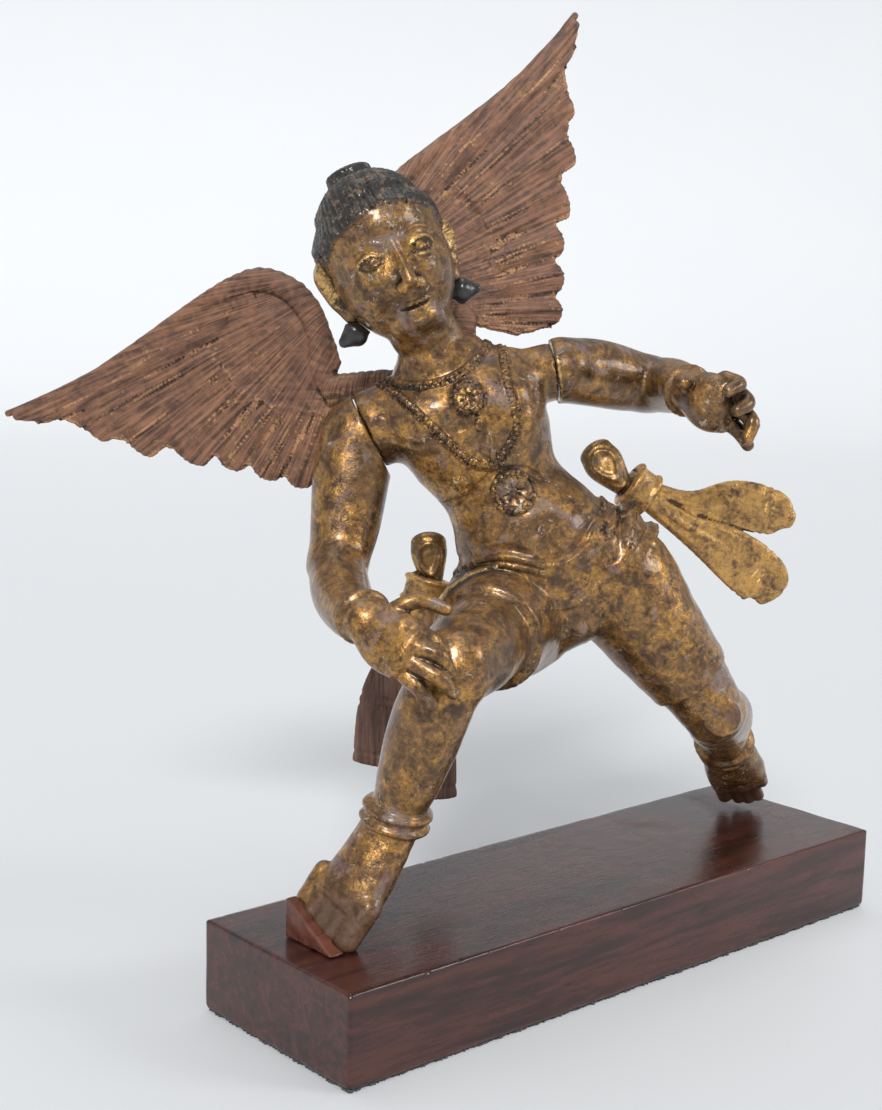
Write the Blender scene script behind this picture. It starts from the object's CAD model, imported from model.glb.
import copy
import math

import bpy
import numpy as np
import openvdb
from mathutils import Matrix, Vector


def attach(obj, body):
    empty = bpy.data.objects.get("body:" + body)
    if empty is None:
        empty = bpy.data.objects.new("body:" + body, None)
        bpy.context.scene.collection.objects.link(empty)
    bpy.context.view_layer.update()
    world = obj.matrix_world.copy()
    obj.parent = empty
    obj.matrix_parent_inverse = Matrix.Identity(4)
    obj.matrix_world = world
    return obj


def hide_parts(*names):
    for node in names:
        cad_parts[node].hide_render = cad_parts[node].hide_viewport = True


# Carved and gilded angel on its plinth. Shapes are worked out in millimetres and scaled to metres.
# Each carved piece is a distance field: rounded forms melted together, then carved with low relief.
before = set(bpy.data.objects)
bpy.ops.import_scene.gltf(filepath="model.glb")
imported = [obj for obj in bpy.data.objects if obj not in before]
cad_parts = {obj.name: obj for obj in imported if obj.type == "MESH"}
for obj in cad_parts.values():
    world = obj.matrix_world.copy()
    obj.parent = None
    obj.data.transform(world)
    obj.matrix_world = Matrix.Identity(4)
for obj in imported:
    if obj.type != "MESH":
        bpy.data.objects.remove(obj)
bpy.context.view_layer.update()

MM = 0.001
GAP = 0.3
CHEST_FRONT = np.array([-0.649, -0.743, 0.162])
CHEST_LEFT = np.array([0.756, -0.655, 0.022])
CHEST_UP = np.array([0.089, 0.137, 0.987])
UPWARDS = np.array([0.0, 0.0, 1.0])
FACE_FRONT = np.array([-0.49, -0.87, 0.02])
PLINTH_TOP = 50.0


def unit(v):
    v = np.asarray(v, float)
    return v / np.linalg.norm(v)


CHEST_FRONT, CHEST_LEFT, CHEST_UP, FACE_FRONT = map(unit, (CHEST_FRONT, CHEST_LEFT, CHEST_UP, FACE_FRONT))


def spot(x, y, z):
    return np.array([x, y, z], float)


def mix(a, b, share):
    return a + (b - a) * share


# Joints of the body, as in the solids
CROTCH = spot(-10, 2, 200)
PELVIS = spot(-16, 4, 217)
BELLY = spot(-32, 4, 244)
WAIST = spot(-45, 13, 272)
RIBS = spot(-58, 16, 295)
CHEST = spot(-66, 23, 315)
SHOULDERS = spot(-71, 31, 331)
NECK_BASE = spot(-75, 34, 343)
NECK_TOP = spot(-88, 34, 358)
RIGHT_SEAM = spot(-103, 57, 302)
LEFT_SEAM = spot(-20, 3, 335)
RIGHT_HIP = spot(-36, 14, 206)
RIGHT_HEM = spot(-77, -12, 199)
RIGHT_KNEE = spot(-121, -36, 193)
RIGHT_ANKLE = spot(-135, -10, 112)
LEFT_HIP = spot(8, -18, 224)
LEFT_HEM = spot(51, -42, 165)
LEFT_KNEE = spot(69, -47, 142)
LEFT_ANKLE = spot(142, 5, 102)
SKULL = spot(-102, 46, 394)
HEAD_UP = unit([-0.27, 0.3, 0.92])
HEAD_LEFT = unit(np.cross(HEAD_UP, FACE_FRONT))
RIGHT_SEAM_OUT = unit([-0.72, 0.53, -0.45])
LEFT_SEAM_OUT = unit([0.76, -0.62, 0.18])


def in_chest(left, up, front=0.0):
    return CHEST + CHEST_LEFT * left + CHEST_UP * up + CHEST_FRONT * front


def in_head(left, up, front):
    return SKULL + HEAD_LEFT * left + HEAD_UP * up + FACE_FRONT * front


# Forms
FAR = 60.0
REACH = 16.0


def spline(points, share):
    """Even Catmull-Rom curve through the points, with its two ends drawn on straight."""
    points = np.asarray(points, float)
    last = len(points) - 1
    padded = np.vstack([2 * points[0] - points[1], points, 2 * points[-1] - points[-2]])
    place = np.clip(share, 0, 1) * last
    i = np.minimum(place.astype(int), last - 1)
    t = (place - i)[:, None]
    a, b, c, d = padded[i], padded[i + 1], padded[i + 2], padded[i + 3]
    return 0.5 * (2 * b + (c - a) * t + (2 * a - 5 * b + 4 * c - d) * t**2 + (3 * b - a - 3 * c + d) * t**3)


def melt(a, b, width):
    """Union of two distance fields with a rounded inner corner."""
    near = np.maximum(width - np.abs(a - b), 0) / width
    return np.minimum(a, b) - near**2 * (width / 4)


class Form:
    """A rounded form on a smooth centre line. A station is (centre, half width, half depth)."""

    def __init__(self, stations, front, domes=(1, 1), blend=3.0):
        centres = [s[0] for s in stations]
        radii = [s[1:3] for s in stations]
        count = 6 * (len(stations) - 1) + 1
        share = np.linspace(0, 1, count)
        step = 1e-3
        self.centre = spline(centres, share)
        along = spline(centres, np.minimum(share + step, 1)) - spline(centres, np.maximum(share - step, 0))
        self.along = along / np.linalg.norm(along, axis=1)[:, None]
        depth = unit(front) - self.along * (self.along @ unit(front))[:, None]
        self.depth = depth / np.linalg.norm(depth, axis=1)[:, None]
        self.side = np.cross(self.along, self.depth)
        self.size = spline(radii, share)
        self.step = np.linalg.norm(np.diff(self.centre, axis=0), axis=1).mean()
        self.domes = [max(d * min(r), 0.05) for d, r in zip(domes, (self.size[0], self.size[-1]))]
        self.blend = blend
        far = self.size.max() + max(self.domes) + REACH
        self.low = self.centre.min(0) - far
        self.high = self.centre.max(0) + far

    def distance(self, points):
        """Signed distance, and how far along the form each point lies."""
        gaps = (points**2).sum(1)[:, None] - 2 * points @ self.centre.T + (self.centre**2).sum(1)[None]
        nearest = gaps.argmin(1)
        last = len(self.centre) - 1
        away = ((points - self.centre[nearest]) * self.along[nearest]).sum(1)
        ahead = np.clip(nearest + (away > 0), 1, last)
        length = np.linalg.norm(self.centre[ahead] - self.centre[ahead - 1], axis=1)
        place = nearest + away / length
        for _ in range(2):
            over = np.maximum(place - last, 0) + np.minimum(place, 0)
            held = np.clip(place, 0, last)
            i = np.minimum(held.astype(int), last - 1)
            t = (held - i)[:, None]
            blend = lambda rows: rows[i] * (1 - t) + rows[i + 1] * t
            offset = points - blend(self.centre)
            along = (offset * blend(self.along)).sum(1)
            moved = np.clip(held + along / self.step, nearest - 1, nearest + 1)
            place = np.where(over != 0, place, moved)
        along = np.where(over != 0, along, 0)
        side = (offset * blend(self.side)).sum(1)
        depth = (offset * blend(self.depth)).sum(1)
        size = blend(self.size)
        reach = np.where(over > 0, self.domes[1], self.domes[0])
        scaled = np.sqrt((side / size[:, 0]) ** 2 + (depth / size[:, 1]) ** 2 + (along / reach) ** 2)
        straight = np.sqrt(side**2 + depth**2 + along**2)
        inner = -size.min(1)
        return np.where(scaled < 1e-3, inner, straight * (1 - 1 / np.maximum(scaled, 1e-3))), place / last

    def join(self, points, field):
        inside = ((points > self.low) & (points < self.high)).all(1)
        if inside.any():
            found, _ = self.distance(points[inside])
            field[inside] = melt(field[inside], found, self.blend)

    def sideways(self, points, value):
        """Where the form makes the surface: its share of the half width and of the length, and which."""
        near = ((points > self.low) & (points < self.high)).all(1) & (np.abs(value) < 4)
        chosen = points[near]
        found, place = self.distance(chosen)
        row = np.clip(np.round(place * (len(self.centre) - 1)).astype(int), 0, len(self.centre) - 1)
        across = ((chosen - self.centre[row]) * self.side[row]).sum(1) / self.size[row, 0]
        makes = np.abs(found - value[near]) < 0.8
        near[near] = makes
        return across[makes], place[makes], near


def ball(centre, radius, blend=3.0, height=None, axis=UPWARDS):
    """A ball, or an egg where height is given along the axis."""
    reach = (height or radius) - 0.01
    middle = unit(axis) * 0.01
    front = unit([0.31, -0.2, 0.93] if abs(unit(axis)[2]) < 0.9 else [1, 0.1, 0])
    dome = reach / radius
    stations = [(centre - middle, radius, radius), (centre + middle, radius, radius)]
    return Form(stations, front, (dome, dome), blend)


def ring(centre, axis, front, halves, profile, blend=0.8):
    """A moulded band round a limb. The profile gives (distance along the axis, how far it stands out)."""
    stations = [(centre + unit(axis) * s, halves[0] + out, halves[1] + out) for s, out in profile]
    return Form(stations, front, (0, 0), blend)


DOUBLE_RING = [(-7, 0), (-3.6, 3.6), (0, 1.0), (3.6, 3.6), (7, 0)]
SINGLE_RING = [(-2.6, 0), (0, 2.4), (2.6, 0)]


def field_of(forms, carvings=()):
    def field(points):
        value = np.full(len(points), FAR)
        for form in forms:
            form.join(points, value)
        for carving in carvings:
            carving(points, value)
        return value

    return field


# Relief
def rise(value, low, high):
    """0 below low, 1 above high and a smooth step between."""
    share = np.clip((value - low) / (high - low), 0, 1)
    return share * share * (3 - 2 * share)


def hill(x, y, middle, widths, height):
    return height * np.exp(-(((x - middle[0]) / widths[0]) ** 2) - ((y - middle[1]) / widths[1]) ** 2)


def wobble(points, size, seed, waves=10):
    """Gentle unevenness of a hand-cut surface, from about -1 to 1."""
    draw = np.random.default_rng(seed)
    total = np.zeros(len(points))
    for _ in range(waves):
        run = unit(draw.normal(size=3)) * (2 * math.pi / (size * draw.uniform(0.7, 1.6)))
        total += np.sin(points @ run + draw.uniform(0, 6.28))
    return total / math.sqrt(waves)


def along_curve(x, y, stations, closed=False):
    """How far each place lies to the left of a smooth line in the plane, and how far along it."""
    stations = np.asarray(stations, float)
    line = spline(stations, np.linspace(0, 1, 12 * (len(stations) - 1) + 1))
    steps = np.diff(line, axis=0)
    lengths = np.linalg.norm(steps, axis=1)
    starts = np.concatenate([[0], np.cumsum(lengths)[:-1]])
    best = np.full(x.shape, np.inf)
    across = np.zeros(x.shape)
    along = np.zeros(x.shape)
    for (px, py), (dx, dy), length, start in zip(line[:-1], steps / lengths[:, None], lengths, starts):
        ox, oy = x - px, y - py
        run = np.clip(ox * dx + oy * dy, 0, length)
        gap = (ox - run * dx) ** 2 + (oy - run * dy) ** 2
        nearer = gap < best
        best = np.where(nearer, gap, best)
        side = np.sign(dx * oy - dy * ox)
        across = np.where(nearer, side * np.sqrt(gap), across)
        along = np.where(nearer, start + run, along)
    return across, along


class Chart:
    """Heights over a plane, worked out once on an even grid and looked up from it."""

    def __init__(self, low, high, pitch, heights):
        self.low, self.pitch = np.asarray(low, float), pitch
        self.shape = [int((b - a) / pitch) + 2 for a, b in zip(low, high)]
        x, y = [a + pitch * np.arange(n) for a, n in zip(low, self.shape)]
        self.heights = heights(*np.meshgrid(x, y, indexing="ij"))

    def steepness(self):
        steep = copy.copy(self)
        steep.heights = np.hypot(*np.gradient(self.heights, self.pitch))
        return steep

    def at(self, x, y):
        a = np.clip((x - self.low[0]) / self.pitch, 0, self.shape[0] - 1.001)
        b = np.clip((y - self.low[1]) / self.pitch, 0, self.shape[1] - 1.001)
        i, j = a.astype(int), b.astype(int)
        a, b = a - i, b - j
        grid = self.heights
        near = grid[i, j] * (1 - a) + grid[i + 1, j] * a
        far = grid[i, j + 1] * (1 - a) + grid[i + 1, j + 1] * a
        return near * (1 - b) + far * b


def beads(along, across, pitch, radius):
    """A row of beads, as heights."""
    place = (along / pitch - np.floor(along / pitch) - 0.5) * pitch
    return np.sqrt(np.maximum(radius**2 - place**2 - across**2, 0))


def rib(across, width, height):
    """A rounded line that stands out, or a groove where the height is below zero."""
    return height * np.exp(-((across / (width * 0.6)) ** 4))


def cord(across, width, height):
    """Like a rib, but with gentle sides."""
    return height * np.exp(-((across / width) ** 2))


# Meshes from fields
def gradient(field, points, step=0.25):
    corners = np.array([[1, -1, -1], [-1, -1, 1], [-1, 1, -1], [1, 1, 1]], float)
    stacked = (points[None] + corners[:, None] * step).reshape(-1, 3)
    values = field(stacked).reshape(4, -1)
    slope = np.einsum("ki,kn->ni", corners, values) / (4 * step)
    return slope, values.mean(0)


def settle(field, points, steps=2, limit=1.5, step=0.25):
    """Moves the points onto the zero surface of the field."""
    for _ in range(steps):
        slope, value = gradient(field, points, step)
        size = np.maximum((slope**2).sum(1), 0.05)
        move = slope * (value / size)[:, None]
        length = np.linalg.norm(move, axis=1)
        points = points - move * np.minimum(1, limit / np.maximum(length, 1e-9))[:, None]
    return points


def coarse_surface(field, low, high, cell):
    """Triangles of the field's zero surface on an even grid, worked out only near the surface."""
    group = 4
    counts = [int(math.ceil((b - a) / (cell * group))) for a, b in zip(low, high)]
    blocks = np.stack(np.meshgrid(*[np.arange(n) for n in counts], indexing="ij"), -1).reshape(-1, 3)
    centres = low + (blocks + 0.5) * cell * group - cell / 2
    value = field(centres)
    near = np.abs(value) < cell * group * 1.35
    volume = np.repeat(np.repeat(np.repeat(value.reshape(counts), group, 0), group, 1), group, 2)
    volume = np.clip(volume, -3 * cell, 3 * cell).astype(np.float32)
    inner = np.stack(np.meshgrid(*[np.arange(group)] * 3, indexing="ij"), -1).reshape(1, -1, 3)
    index = (blocks[near][:, None] * group + inner).reshape(-1, 3)
    exact = field(low + index * cell)
    volume[index[:, 0], index[:, 1], index[:, 2]] = exact
    grid = openvdb.FloatGrid(3 * cell)
    grid.copyFromArray(volume)
    points, triangles, quads = grid.convertToPolygons(0.0, 0.0)
    quads = np.asarray(quads, int).reshape(-1, 4)
    triangles = np.asarray(triangles, int).reshape(-1, 3)
    triangles = np.vstack([triangles, quads[:, [0, 1, 2]], quads[:, [0, 2, 3]]])
    points = low + np.asarray(points, float) * cell
    a, b, c = (points[triangles[:, k]] for k in range(3))
    if np.einsum("ij,ij->i", a, np.cross(b, c)).sum() < 0:
        triangles = triangles[:, ::-1]
    return points, triangles


def edges_of(triangles):
    pairs = np.sort(np.vstack([triangles[:, [0, 1]], triangles[:, [1, 2]], triangles[:, [2, 0]]]), axis=1)
    edges, where = np.unique(pairs, axis=0, return_inverse=True)
    return edges, where.reshape(3, -1).T


def refine(points, triangles, wanted, field, rounds=6):
    """Splits edges longer than wanted, and the longest edge of each triangle it touches."""
    for _ in range(rounds):
        edges, sides = edges_of(triangles)
        middle = points[edges].mean(1)
        length = np.linalg.norm(points[edges[:, 0]] - points[edges[:, 1]], axis=1)
        split = length > wanted(middle) * 1.45
        if split.sum() < 20:
            break
        longest = sides[np.arange(len(sides)), length[sides].argmax(1)]
        for _ in range(8):
            before = split.sum()
            split[longest[split[sides].any(1)]] = True
            if split.sum() == before:
                break
        number = np.full(len(edges), -1)
        number[split] = len(points) + np.arange(split.sum())
        points = np.vstack([points, settle(field, middle[split], 1, 0.6)])
        parts = []
        marks = number[sides]
        # Turns each triangle so that its longest edge comes first, then splits that edge and the others
        turn = length[sides].argmax(1)
        rows = np.arange(len(triangles))[:, None]
        order = (turn[:, None] + np.arange(3)) % 3
        corner, mark = triangles[rows, order], marks[rows, order]
        a, b, c = corner.T
        ab, bc, ca = mark.T
        plain = ab < 0
        parts.append(corner[plain])
        only = (ab >= 0) & (bc < 0) & (ca < 0)
        parts += [np.stack(t, 1)[only] for t in ((a, ab, c), (ab, b, c))]
        second = (ab >= 0) & (bc >= 0) & (ca < 0)
        parts += [np.stack(t, 1)[second] for t in ((a, ab, c), (ab, b, bc), (ab, bc, c))]
        third = (ab >= 0) & (bc < 0) & (ca >= 0)
        parts += [np.stack(t, 1)[third] for t in ((ab, b, c), (a, ab, ca), (ab, c, ca))]
        every = (ab >= 0) & (bc >= 0) & (ca >= 0)
        parts += [np.stack(t, 1)[every] for t in ((a, ab, ca), (ab, b, bc), (ab, bc, c), (ab, c, ca))]
        triangles = np.vstack(parts)
    return points, triangles


def relax(points, triangles, rounds=2, strength=0.5):
    """Evens out the triangles."""
    edges, _ = edges_of(triangles)
    for _ in range(rounds):
        total = np.zeros_like(points)
        np.add.at(total, edges[:, 0], points[edges[:, 1]])
        np.add.at(total, edges[:, 1], points[edges[:, 0]])
        count = np.bincount(edges.ravel(), minlength=len(points))[:, None]
        points = points + (total / np.maximum(count, 1) - points) * strength
    return points


def sculpt(name, smooth, carved, low, high, cell, wanted, masks=()):
    """The finished mesh of one piece. smooth is the field without relief, and carved the one with it."""
    points, triangles = coarse_surface(smooth, np.asarray(low, float), np.asarray(high, float), cell)
    points = settle(smooth, relax(points, triangles, 1), 1)
    points, triangles = refine(points, triangles, wanted, smooth)
    points = settle(smooth, relax(points, triangles, 2), 2)
    points = settle(carved, points, 3, 0.8, 0.12)
    slope, _ = gradient(carved, points, 0.4)
    normal = slope / np.maximum(np.linalg.norm(slope, axis=1), 1e-6)[:, None]
    hollow = np.clip(1 - carved(points + normal * 2.4) / 2.4, 0, 1)
    edge = np.clip(1 + carved(points - normal * 1.6) / 1.6, 0, 1)
    layers = {"hollow": hollow, "edge": edge}
    for key, mask in masks:
        layers[key] = mask(points)
    return mesh_object(name, points, triangles, layers)


def mesh_object(name, points, triangles, layers=None):
    mesh = bpy.data.meshes.new(name)
    mesh.vertices.add(len(points))
    mesh.vertices.foreach_set("co", (np.asarray(points) * MM).astype(np.float32).ravel())
    mesh.loops.add(3 * len(triangles))
    mesh.loops.foreach_set("vertex_index", np.asarray(triangles, np.int32).ravel())
    mesh.polygons.add(len(triangles))
    mesh.polygons.foreach_set("loop_start", np.arange(0, 3 * len(triangles), 3, dtype=np.int32))
    mesh.polygons.foreach_set("loop_total", np.full(len(triangles), 3, np.int32))
    mesh.polygons.foreach_set("use_smooth", np.ones(len(triangles), bool))
    mesh.update(calc_edges=True)
    mesh.validate()
    for key, values in (layers or {}).items():
        layer = mesh.attributes.new(key, "FLOAT", "POINT")
        layer.data.foreach_set("value", np.asarray(values, np.float32))
    thing = bpy.data.objects.new(name, mesh)
    bpy.context.scene.collection.objects.link(thing)
    print(name, len(triangles), "triangles")
    return thing


# Figure: trunk, head, legs and feet
def shoulder(middle, out, wide, deep):
    root = mix(CHEST, SHOULDERS, 0.5)
    return [
        (mix(root, middle, 0.25), wide * 0.95, deep),
        (mix(root, middle, 0.7), wide, deep),
        (middle, wide, deep),
        (middle + out * 7, wide * 0.95, deep * 0.95),
    ]


def right_shoulder():
    return shoulder(RIGHT_SEAM, RIGHT_SEAM_OUT, 21, 19)


def left_shoulder():
    return shoulder(LEFT_SEAM, LEFT_SEAM_OUT, 15.5, 18)


def past_seam(points, middle, out):
    """How far a place lies past a seam. Its faces are low domes, so that no light shows through the gap."""
    offset = points - middle
    along = offset @ out
    radius = np.linalg.norm(offset - along[:, None] * out, axis=1)
    return along - 3.5 * np.exp(-((radius / 11) ** 2))


class Cut:
    """A form that ends at a seam."""

    def __init__(self, form, middle, out):
        self.form, self.middle, self.out = form, middle, out

    def join(self, points, field):
        form = self.form
        inside = ((points > form.low) & (points < form.high)).all(1)
        if inside.any():
            near = points[inside]
            found = np.maximum(form.distance(near)[0], past_seam(near, self.middle, self.out) + GAP / 2)
            field[inside] = melt(field[inside], found, form.blend)


TRUNK = [
    (CROTCH, 34, 28),
    (PELVIS, 50, 35),
    (BELLY, 44, 36),
    (WAIST, 33, 27),
    (RIBS, 39, 28),
    (CHEST, 43, 29),
    (SHOULDERS, 38, 22),
    (NECK_BASE, 24, 18),
]
BELLY_BULGE = [
    (BELLY + CHEST_FRONT * 12, 31, 24),
    (mix(BELLY, WAIST, 0.3) + CHEST_FRONT * 11, 29, 24),
]
NECK = [
    (NECK_BASE - CHEST_UP * 8, 24, 20),
    (mix(NECK_BASE, NECK_TOP, 0.5), 18, 17),
    (NECK_TOP, 18, 18),
]


def breast(left, up):
    stations = [(in_chest(left, up, 11), 16, 15), (in_chest(left * 1.1, up - 7, 10), 16, 15)]
    return Form(stations, CHEST_FRONT, blend=6)


def trunk_forms():
    return [
        Form(TRUNK, CHEST_FRONT, (0.5, 0.4), 4),
        Form(BELLY_BULGE, CHEST_FRONT, blend=5),
        breast(-20, -4),
        breast(22, 2),
        Form(NECK, CHEST_FRONT, blend=6),
        Cut(Form(right_shoulder(), CHEST_FRONT, blend=6), RIGHT_SEAM, RIGHT_SEAM_OUT),
        Cut(Form(left_shoulder(), CHEST_FRONT, blend=6), LEFT_SEAM, LEFT_SEAM_OUT),
    ]


HEAD_AXES = np.linalg.inv(np.stack([HEAD_LEFT, HEAD_UP, FACE_FRONT], 1))
SKULL_FORM = Form([
    (in_head(0, -37, 13), 15, 14),
    (in_head(0, -28, 9), 25, 24),
    (in_head(0, -14, 5), 31, 31),
    (in_head(0, 2, 0), 31.5, 36),
    (in_head(0, 17, -2), 30, 36),
    (in_head(0, 28, -3), 23, 28),
], FACE_FRONT, (0.5, 0.7), 4)
HAIR_FORM = Form([
    (in_head(0, 4, -10), 32, 29),
    (in_head(0, 16, -5), 32.5, 37),
    (in_head(0, 27, -5), 26, 31),
], FACE_FRONT, (0.2, 0.5), 3)
BUN_BASE, BUN_TOP = (2, 34, -27), (3, 47, -33)
EYE_OUT, EYE_UP, EYE_FRONT, EYE_RADIUS = 12.5, 0.0, 25.2, 7.8
LID_HALF_WIDTH, UPPER_LID, LOWER_LID = 7.4, 3.9, 2.7
MOUTH_UP = -27.0


def head_axes(points):
    return HEAD_AXES @ (points - SKULL).T


def on_face(left, up, under=0.0):
    """The place on the face's surface, seen from the front, or a little under it."""
    fronts = np.linspace(18, 44, 261)
    points = np.array([in_head(left, up, front) for front in fronts])
    outside = SKULL_FORM.distance(points)[0] > 0
    return in_head(left, up, fronts[outside.argmax()] - under)


def head_forms():
    bun = [(in_head(*BUN_BASE), 9, 9), (in_head(3, 40, -32), 13, 12), (in_head(*BUN_TOP), 12.5, 12)]
    nose = [
        (in_head(0, 6, 32.5), 2.6, 3),
        (in_head(0, -2, 35.5), 2.9, 3.6),
        (in_head(0, -9, 38), 3.4, 4.2),
        (in_head(0, -14, 39.6), 4, 4.3),
    ]
    forms = [
        SKULL_FORM,
        HAIR_FORM,
        Form(bun, FACE_FRONT, (0.4, 0.3), 1.5),
        Form(nose, FACE_FRONT, (0.8, 0.9), 2.2),
    ]
    for out in (1, -1):
        ear = [
            (in_head(out * 31, 9, -5), 3.5, 6),
            (in_head(out * 35, 2, -8), 4, 8),
            (in_head(out * 33, -11, -6), 4, 6),
            (in_head(out * 29, -22, -1), 4, 4),
        ]
        forms.append(Form(ear, FACE_FRONT, blend=1.5))
        forms.append(ball(in_head(out * 4.5, -16.3, 37.2), 3.1, 1.8))
    return forms


def lip(left_to_right, radii):
    places = [on_face(left, up, under) for left, up, under in left_to_right]
    stations = [(place, radius, radius) for place, radius in zip(places, radii)]
    return Form(stations, UPWARDS, blend=1.0)


def lips():
    upper = lip([(-9, -26.6, 0.9), (-4, -25.2, 0.4), (0, -25.9, 0.3), (4, -25.2, 0.4), (9, -26.6, 0.9)],
                (0.7, 2.0, 1.8, 2.0, 0.7))
    lower = lip([(-8, -27.9, 0.9), (-3.5, -29.5, 0.5), (0, -29.9, 0.5), (3.5, -29.5, 0.5), (8, -27.9, 0.9)],
                (0.7, 2.1, 2.3, 2.1, 0.7))
    return [upper, lower]


def face_heights(left, up):
    """Relief of the face over its front plane: sockets, brows, lids' crease, cheeks and chin."""
    out = np.abs(left)
    height = hill(out, up, (EYE_OUT, 1.5), (9, 5.6), -2.6)
    height += hill(out, up, (3.5, 3), (3, 4), -0.5)
    height += hill(out, up, (15, -12), (8, 7), 0.7)
    height += hill(out, up, (12, 22), (9, 7), 0.5)
    height += hill(left, up, (0, -37), (8, 5), 2.6)
    height += hill(left, up, (0, -33.4), (6, 1.6), -1.0)
    height += hill(left, up, (0, -21.5), (1.3, 2.6), -0.7)
    height += hill(out, up, (2.6, -22), (1.2, 3), 0.3)
    height += hill(out, up, (8.5, -19), (1.6, 5), -0.5)
    height += hill(out, up, (10.5, -27.2), (1.4, 1.4), -0.8)
    across, along = along_curve(out, up, [(3.6, 6.2), (8, 9.4), (13.5, 10.8), (19, 9), (23, 5.4)])
    ends = rise(along, 0, 3) * (1 - rise(along, 18, 23))
    return height + rib(across, 1.6, 0.75) * ends


FACE_CHART = Chart((-32, -44), (32, 32), 0.25, face_heights)


def almond(out, up):
    """Signed distance to the opening between the lids."""
    found = []
    for lid, way in ((UPPER_LID, 1), (LOWER_LID, -1)):
        radius = (LID_HALF_WIDTH**2 + lid**2) / (2 * lid)
        middle = EYE_UP + way * (lid - radius)
        found.append(np.hypot(out - EYE_OUT, up - middle) - radius)
    return np.maximum(*found)


def add_eyes(left, up, front, value):
    out = np.abs(left)
    reach = np.sqrt((out - EYE_OUT) ** 2 + (up - EYE_UP) ** 2 + (front - EYE_FRONT) ** 2)
    opening = almond(out, up)
    from_pupil = np.hypot(out - EYE_OUT, up - EYE_UP - 0.3)
    eyeball = reach - EYE_RADIUS + rib(from_pupil - 3.3, 0.5, 0.3) + rib(from_pupil, 1.3, 0.5)
    lid = np.maximum(reach - EYE_RADIUS - 1.0, -opening - 0.05)
    lid += rib(opening - 3.0, 0.7, 0.5) * (up > EYE_UP)
    value = melt(value, np.maximum(lid, opening - 5), 1.2)
    return np.minimum(value, eyeball)


HAIRLINE_TURNS = np.radians([0, 12, 28, 44, 58, 70, 78, 92, 108, 125, 150, 180])
HAIRLINE_HEIGHTS = [27.5, 25, 21, 17, 11.5, 4, 1.5, 9, 3, -12, -19, -20]
HAIR_RISE = 2.0
STRANDS = 64
BUN_AXIS = unit([0.057, 0.78, -0.62])
HAIR_LEFT = unit(np.cross(BUN_AXIS, [0, 0, -1]))
HAIR_BACK = np.cross(BUN_AXIS, HAIR_LEFT)


def hair_height(left, up, front):
    """How far the hair stands out, and where it lies. Its strands run from the hairline to the bun."""
    turn = np.abs(np.arctan2(left, front + 5))
    line = np.interp(turn, HAIRLINE_TURNS, HAIRLINE_HEIGHTS)
    above = (up - line) * np.where(turn < 1.2, 0.8, 0.6)
    covered = rise(above, -0.5, 0.9)
    direction = np.stack([left, up - 4, front + 3])
    across, back = HAIR_LEFT @ direction, HAIR_BACK @ direction
    bearing = np.arctan2(across, back)
    close = np.hypot(across, back) < 17
    ridge = np.abs(np.cos(bearing * np.where(close, STRANDS / 4, STRANDS / 2)))
    parting = rib(np.hypot(left, np.minimum(front - 4, 0)), 1.2, 1.0)
    height = covered * (HAIR_RISE + 0.75 * (ridge - 0.6)) - 0.7 * rib(above + 1.1, 1.0, 1) - covered * parting
    return height, covered


def bun_height(left, up, front):
    base, top = np.array(BUN_BASE, float), np.array(BUN_TOP, float)
    axis = unit(top - base)
    offset = np.stack([left - base[0], up - base[1], front - base[2]])
    along = axis @ offset
    side = unit(np.cross(axis, [1, 0, 0]))
    other = np.cross(axis, side)
    x, y = side @ offset, other @ offset
    out = np.hypot(x, y)
    flutes = np.abs(np.cos(np.arctan2(x, y) * 11))
    near = rise(along, 1, 3) * (out < 18)
    wall = rise(out, 7, 9)
    coils = np.abs(np.cos(out * 1.1))
    band = rib(along - 6.5, 2.2, 0.7)
    fluted = 0.7 * (flutes - 0.5) * (1 - rib(along - 6.5, 3, 1)) + band
    return near * (wall * fluted + (1 - wall) * 0.35 * coils)


EAR_HOLLOWS = [
    Form([
        (in_head(out * 33.4, 7, 1), 1.7, 4),
        (in_head(out * 35.8, 1, -1), 2.7, 6.5),
        (in_head(out * 34.2, -9, 0), 2.2, 5),
        (in_head(out * 31.2, -16, 3), 1.2, 2.5),
    ], FACE_FRONT)
    for out in (1, -1)
]
EAR_FOLDS = [
    Form([(in_head(out * 32.4, 1, -3), 1.2, 2.2), (in_head(out * 33.2, -5, -4.5), 1.4, 2.6),
          (in_head(out * 32, -11, -3), 1.1, 2)], FACE_FRONT)
    for out in (1, -1)
]


def hollow_out(points, value, form, depth=0.0):
    inside = ((points > form.low) & (points < form.high)).all(1)
    if inside.any():
        found = form.distance(points[inside])[0] + depth
        value[inside] = -melt(-value[inside], found, 0.8)


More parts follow.
